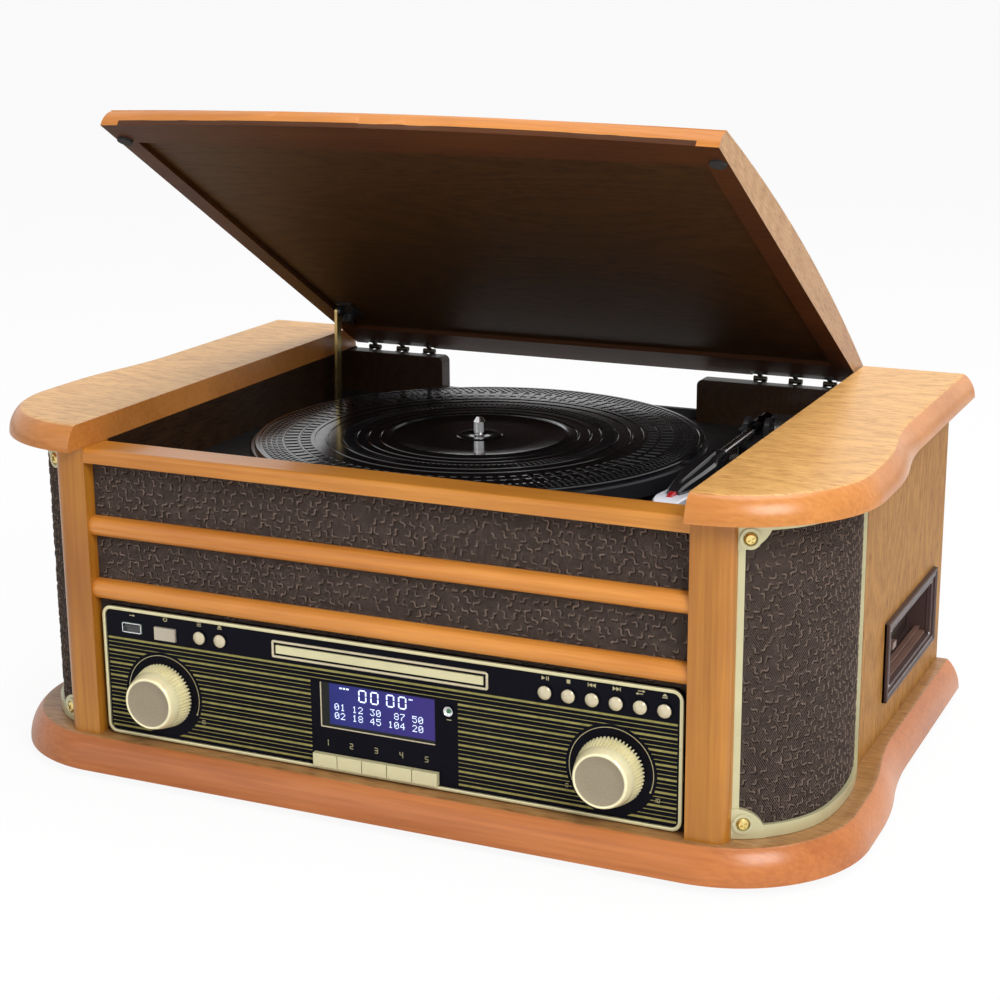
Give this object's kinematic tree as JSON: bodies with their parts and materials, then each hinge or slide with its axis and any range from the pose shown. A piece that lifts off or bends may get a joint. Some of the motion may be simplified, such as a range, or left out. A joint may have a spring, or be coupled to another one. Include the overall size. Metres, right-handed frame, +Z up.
{
  "type": "stereo music centre",
  "caption": "Wooden stereo music centre with turntable under a hinged lid, disc tray, side cassette slot, display, knobs and cloth speaker corners",
  "frame": {"origin": "centre of the footprint on the surface that the rubber feet stand on", "axes": "+X to the object's right seen from the front, +Y to the back, +Z up"},
  "size_m": [0.533, 0.3497, 0.3907],
  "materials": {
    "veneer": "satin oak-pattern veneer",
    "lacquer": "reddish-brown satin lacquer",
    "dark_wood": "very dark brown stain",
    "plain_board": "bare fibreboard",
    "cloth": "woven brown speaker cloth",
    "champagne": "champagne gold paint",
    "black_gloss": "gloss black",
    "black_matte": "moulded black",
    "brown_plastic": "dark brown moulded",
    "yellow_zinc": "yellow zinc plate",
    "dark_steel": "dark bronze finish",
    "brass": "brushed brass",
    "rubber": "black rubber",
    "steel": "plain steel",
    "chrome": "polished",
    "platter_metal": "dark cast",
    "lcd": "backlit blue display",
    "cone": "paper cone and steel basket",
    "board": "circuit board",
    "transformer": "laminated iron and board"
  },
  "bodies": {
    "cabinet": {"base_plank": "lacquer", "rubber_feet": "rubber", "left_side_panel": "veneer", "right_side_panel": "veneer", "front_posts": "lacquer", "top_rail": "lacquer", "front_mouldings": "lacquer", "front_board": "cloth", "wing_boards": "veneer", "grille_frames": "champagne", "grille_screws": "yellow_zinc", "grille_cloths": "cloth", "speaker_boards": "plain_board", "speakers": "cone", "well_boards": "dark_wood", "back_panel": "black_matte", "cabinet_hinge_leaves": "dark_steel", "deck": "black_matte", "motor": "steel", "drive_belt": "rubber", "tonearm_base": "black_matte", "fascia": "black_gloss", "display": "lcd", "control_board": "board", "power_supply": "transformer", "disc_drive": "steel", "cassette_frame": "brown_plastic", "cassette_deck": "steel"},
    "lid_assembly": {"lid": "veneer", "lid_buffers": "rubber", "lid_hinge_leaves": "dark_steel", "stay_bracket": "black_matte"},
    "stay": {"lid_stay": "brass"},
    "turntable": {"platter": "platter_metal", "platter_mat": "rubber", "spindle": "chrome"},
    "pulley": {"motor_pulley": "brass"},
    "arm_yoke": {"tonearm_yoke": "black_matte"},
    "arm": {"tonearm_tube": "chrome", "cartridge_shell": "black_matte"},
    "speed_switch": {"speed_lever": "black_gloss"},
    "volume": {"volume_knob": "champagne"},
    "tuning": {"tuning_knob": "champagne"},
    "power": {"power_key": "champagne"},
    "tray": {"disc_tray": "champagne"},
    "flap": {"cassette_flap": "brown_plastic"},
    "eject_key": {"cassette_eject_key": "brown_plastic"},
    "function_button_body": {"function_button": "champagne"},
    "disc_open_button_body": {"disc_open_button": "champagne"},
    "play_button_body": {"play_button": "champagne"},
    "stop_button_body": {"stop_button": "champagne"},
    "back_button_body": {"back_button": "champagne"},
    "forward_button_body": {"forward_button": "champagne"},
    "mode_button_body": {"mode_button": "champagne"},
    "eject_button_body": {"eject_button": "champagne"},
    "menu_key_body": {"menu_key": "champagne"},
    "info_key_body": {"info_key": "champagne"},
    "scan_key_body": {"scan_key": "champagne"},
    "preset_key_body": {"preset_key": "champagne"},
    "tone_key_body": {"tone_key": "champagne"}
  },
  "joints": [
    {"name": "lid_hinge", "type": "hinge", "parent": "cabinet", "child": "lid_assembly", "pos_m": [0, 0.1736, 0.1998], "axis": [-1, 0, 0], "range_deg": [-30.9, 0]},
    {"name": "stay_pivot", "type": "hinge", "parent": "lid_assembly", "child": "stay", "pos_m": [-0.168, 0.11652, 0.23489], "axis": [-1, 0, 0], "range_deg": [-1, 17.2]},
    {"name": "platter_turn", "type": "hinge", "parent": "cabinet", "child": "turntable", "pos_m": [-0.012, 0.0105, 0.17], "axis": [0, 0, 1], "continuous": true},
    {"name": "pulley_turn", "type": "hinge", "parent": "cabinet", "child": "pulley", "pos_m": [-0.098, 0.0305, 0.172], "axis": [0, 0, 1], "continuous": true},
    {"name": "arm_swing", "type": "hinge", "parent": "cabinet", "child": "arm_yoke", "pos_m": [0.1486, 0.066, 0.182], "axis": [0, 0, -1], "range_deg": [0, 53]},
    {"name": "arm_lift", "type": "hinge", "parent": "arm_yoke", "child": "arm", "pos_m": [0.1486, 0.066, 0.194], "axis": [-0.9997, -0.0244, 0], "range_deg": [0, 12]},
    {"name": "speed_turn", "type": "hinge", "parent": "cabinet", "child": "speed_switch", "pos_m": [0.1666, 0.148, 0.172], "axis": [0, 0, 1], "range_deg": [-30, 30]},
    {"name": "volume_turn", "type": "hinge", "parent": "cabinet", "child": "volume", "pos_m": [-0.1406, -0.16, 0.0536], "axis": [0, -1, 0], "range_deg": [-140, 140]},
    {"name": "tuning_turn", "type": "hinge", "parent": "cabinet", "child": "tuning", "pos_m": [0.1406, -0.16, 0.0536], "axis": [0, -1, 0], "continuous": true},
    {"name": "power_press", "type": "slide", "parent": "cabinet", "child": "power", "axis": [0, 1, 0], "range_m": [0, 0.001], "stiffness_N_per_m": 300},
    {"name": "function_press", "type": "slide", "parent": "cabinet", "child": "function_button_body", "axis": [0, 1, 0], "range_m": [0, 0.001], "stiffness_N_per_m": 300},
    {"name": "disc_open_press", "type": "slide", "parent": "cabinet", "child": "disc_open_button_body", "axis": [0, 1, 0], "range_m": [0, 0.001], "stiffness_N_per_m": 300},
    {"name": "play_press", "type": "slide", "parent": "cabinet", "child": "play_button_body", "axis": [0, 1, 0], "range_m": [0, 0.001], "stiffness_N_per_m": 300},
    {"name": "stop_press", "type": "slide", "parent": "cabinet", "child": "stop_button_body", "axis": [0, 1, 0], "range_m": [0, 0.001], "stiffness_N_per_m": 300},
    {"name": "back_press", "type": "slide", "parent": "cabinet", "child": "back_button_body", "axis": [0, 1, 0], "range_m": [0, 0.001], "stiffness_N_per_m": 300},
    {"name": "forward_press", "type": "slide", "parent": "cabinet", "child": "forward_button_body", "axis": [0, 1, 0], "range_m": [0, 0.001], "stiffness_N_per_m": 300},
    {"name": "mode_press", "type": "slide", "parent": "cabinet", "child": "mode_button_body", "axis": [0, 1, 0], "range_m": [0, 0.001], "stiffness_N_per_m": 300},
    {"name": "eject_press", "type": "slide", "parent": "cabinet", "child": "eject_button_body", "axis": [0, 1, 0], "range_m": [0, 0.001], "stiffness_N_per_m": 300},
    {"name": "menu_press", "type": "slide", "parent": "cabinet", "child": "menu_key_body", "axis": [0, 1, 0], "range_m": [0, 0.001], "stiffness_N_per_m": 300},
    {"name": "info_press", "type": "slide", "parent": "cabinet", "child": "info_key_body", "axis": [0, 1, 0], "range_m": [0, 0.001], "stiffness_N_per_m": 300},
    {"name": "scan_press", "type": "slide", "parent": "cabinet", "child": "scan_key_body", "axis": [0, 1, 0], "range_m": [0, 0.001], "stiffness_N_per_m": 300},
    {"name": "preset_press", "type": "slide", "parent": "cabinet", "child": "preset_key_body", "axis": [0, 1, 0], "range_m": [0, 0.001], "stiffness_N_per_m": 300},
    {"name": "tone_press", "type": "slide", "parent": "cabinet", "child": "tone_key_body", "axis": [0, 1, 0], "range_m": [0, 0.001], "stiffness_N_per_m": 300},
    {"name": "tray_slide", "type": "slide", "parent": "cabinet", "child": "tray", "axis": [0, -1, 0], "range_m": [0, 0.118]},
    {"name": "cassette_eject_press", "type": "slide", "parent": "cabinet", "child": "eject_key", "axis": [-1, 0, 0], "range_m": [0, 0.005], "stiffness_N_per_m": 120},
    {"name": "flap_turn", "type": "hinge", "parent": "cabinet", "child": "flap", "pos_m": [0.2274, 0.08675, 0.0702], "axis": [0, 1, 0], "range_deg": [0, 78], "stiffness_Nm_per_rad": 0.02}
  ],
  "couplings": [
    {"joint": "stay_pivot", "follows": "lid_hinge", "ratio": -0.5405},
    {"joint": "pulley_turn", "follows": "platter_turn", "ratio": 10}
  ]
}
